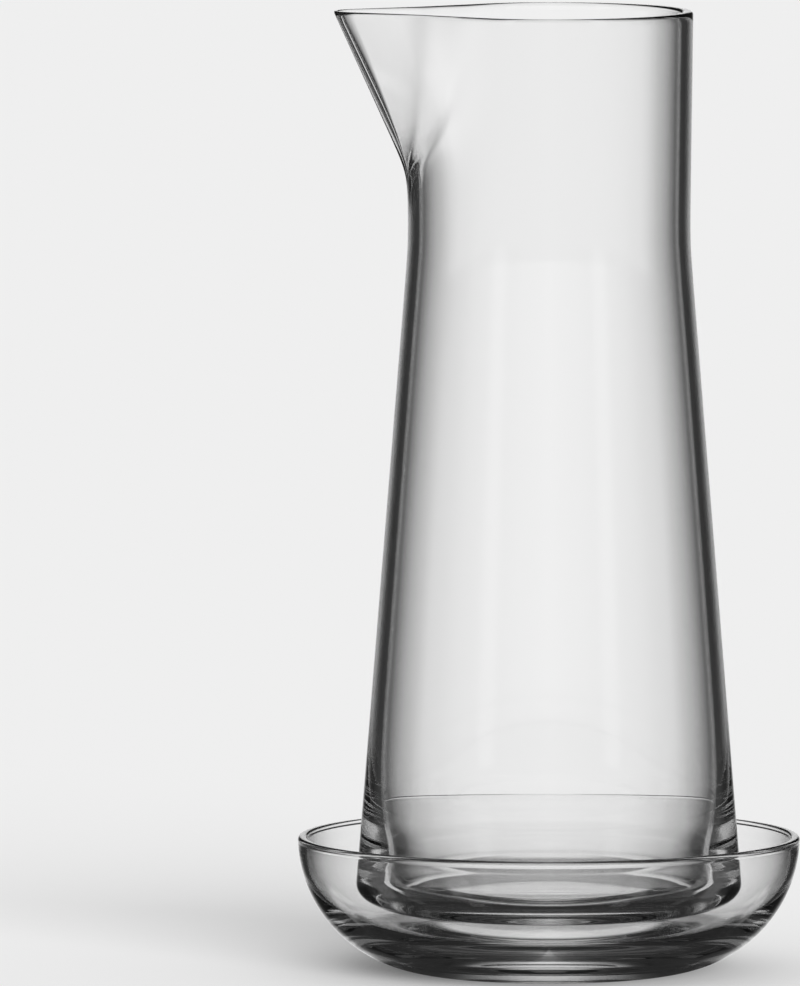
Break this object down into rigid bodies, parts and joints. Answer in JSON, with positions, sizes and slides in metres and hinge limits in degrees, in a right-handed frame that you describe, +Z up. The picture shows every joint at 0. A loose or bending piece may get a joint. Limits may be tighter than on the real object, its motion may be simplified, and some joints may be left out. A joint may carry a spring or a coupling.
{
  "type": "water carafe",
  "caption": "Clear glass water carafe with a pinched pouring spout, standing loose in a thick-bottomed round glass bowl.",
  "frame": {"origin": "bottom centre of the bowl's foot, on the surface that the object stands on", "axes": "+Z up along the common axis of bowl and carafe, spout towards -X, +Y away from a viewer who has the spout on the left"},
  "size_m": [0.1358, 0.1358, 0.26],
  "materials": {
    "bowl_glass": "clear pressed glass with a polished rim",
    "carafe_glass": "clear blown glass with a rounded, fire polished rim"
  },
  "bodies": {
    "bowl": {"bowl": "bowl_glass"},
    "carafe": {"carafe": "carafe_glass"}
  },
  "joints": [
    {"name": "carafe_lift", "type": "slide", "parent": "bowl", "child": "carafe", "axis": [0, 0, 1], "range_m": [0, 0.06]}
  ]
}
